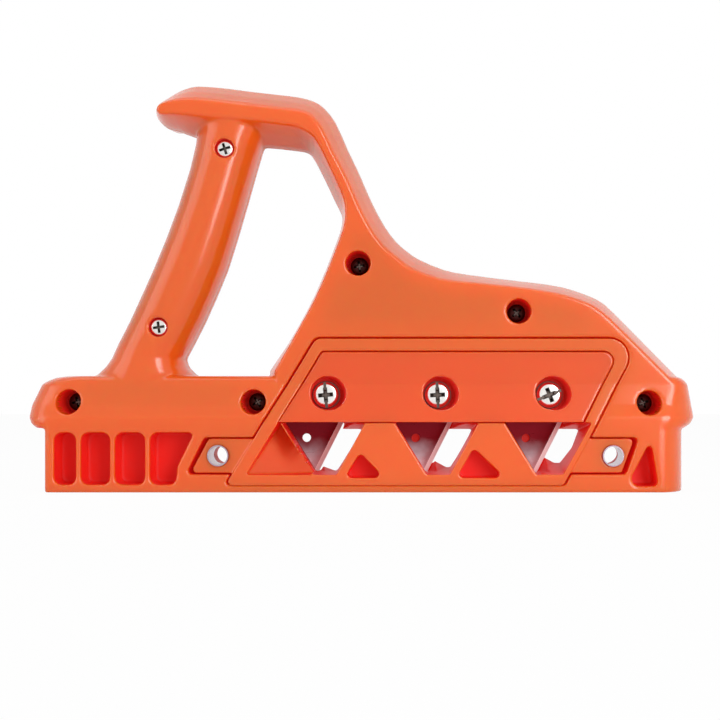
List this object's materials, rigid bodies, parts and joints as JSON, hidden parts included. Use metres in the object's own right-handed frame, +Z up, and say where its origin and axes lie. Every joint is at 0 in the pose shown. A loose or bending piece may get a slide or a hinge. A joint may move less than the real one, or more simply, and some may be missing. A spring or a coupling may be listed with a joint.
{
  "type": "drywall edge plane",
  "caption": "Hand plane that bevels plasterboard edges: moulded shells with hooded grip, blade carrier, skewed trapezoid blades, clamp plate and guide groove.",
  "frame": {"origin": "centre of the outline on the plane of the sole, under the parting plane of the two shells", "axes": "+X points to the nose, -Y to the side with the blades, +Z up from the sole"},
  "size_m": [0.242, 0.045, 0.1495],
  "materials": {
    "shell": "glossy orange moulded plastic",
    "carrier": "glossy orange moulded plastic",
    "clamp": "glossy red orange moulded plastic",
    "blade": "ground blade steel with a pale bevel",
    "screw": "bright zinc",
    "washer": "zinc plated",
    "nut": "zinc plated",
    "sleeve": "drawn steel tube",
    "shell_screw": "zinc plated"
  },
  "bodies": {
    "body": {"front_shell": "shell", "back_shell": "shell", "blade_carrier": "carrier", "blade_rear": "blade", "blade_middle": "blade", "blade_front": "blade", "clamp_nut_rear": "nut", "clamp_nut_middle": "nut", "clamp_nut_front": "nut", "sleeve_rear": "sleeve", "sleeve_front": "sleeve", "body_screw_tail": "shell_screw", "body_screw_heel": "shell_screw", "body_screw_throat": "shell_screw", "body_screw_brow": "shell_screw", "body_screw_nose": "shell_screw", "grip_screw_upper": "shell_screw", "grip_screw_lower": "shell_screw"},
    "clamp": {"blade_clamp": "clamp", "clamp_washer_rear": "washer", "clamp_washer_middle": "washer", "clamp_washer_front": "washer"},
    "rear_screw": {"clamp_screw_rear": "screw"},
    "middle_screw": {"clamp_screw_middle": "screw"},
    "front_screw": {"clamp_screw_front": "screw"}
  },
  "joints": [
    {"name": "clamp_back_off", "type": "slide", "parent": "body", "child": "clamp", "axis": [0, -1, 0], "range_m": [0, 0.0035]},
    {"name": "rear_screw_turn", "type": "hinge", "parent": "clamp", "child": "rear_screw", "pos_m": [-0.01367, 0, 0.03472], "axis": [0, -1, 0], "range_deg": [0, 1576]},
    {"name": "middle_screw_turn", "type": "hinge", "parent": "clamp", "child": "middle_screw", "pos_m": [0.02663, 0, 0.03472], "axis": [0, -1, 0], "range_deg": [0, 1576]},
    {"name": "front_screw_turn", "type": "hinge", "parent": "clamp", "child": "front_screw", "pos_m": [0.06693, 0, 0.03472], "axis": [0, -1, 0], "range_deg": [0, 1576]}
  ],
  "couplings": [
    {"joint": "rear_screw_turn", "follows": "clamp_back_off", "rad_per_m": 7854},
    {"joint": "middle_screw_turn", "follows": "clamp_back_off", "rad_per_m": 7854},
    {"joint": "front_screw_turn", "follows": "clamp_back_off", "rad_per_m": 7854}
  ]
}
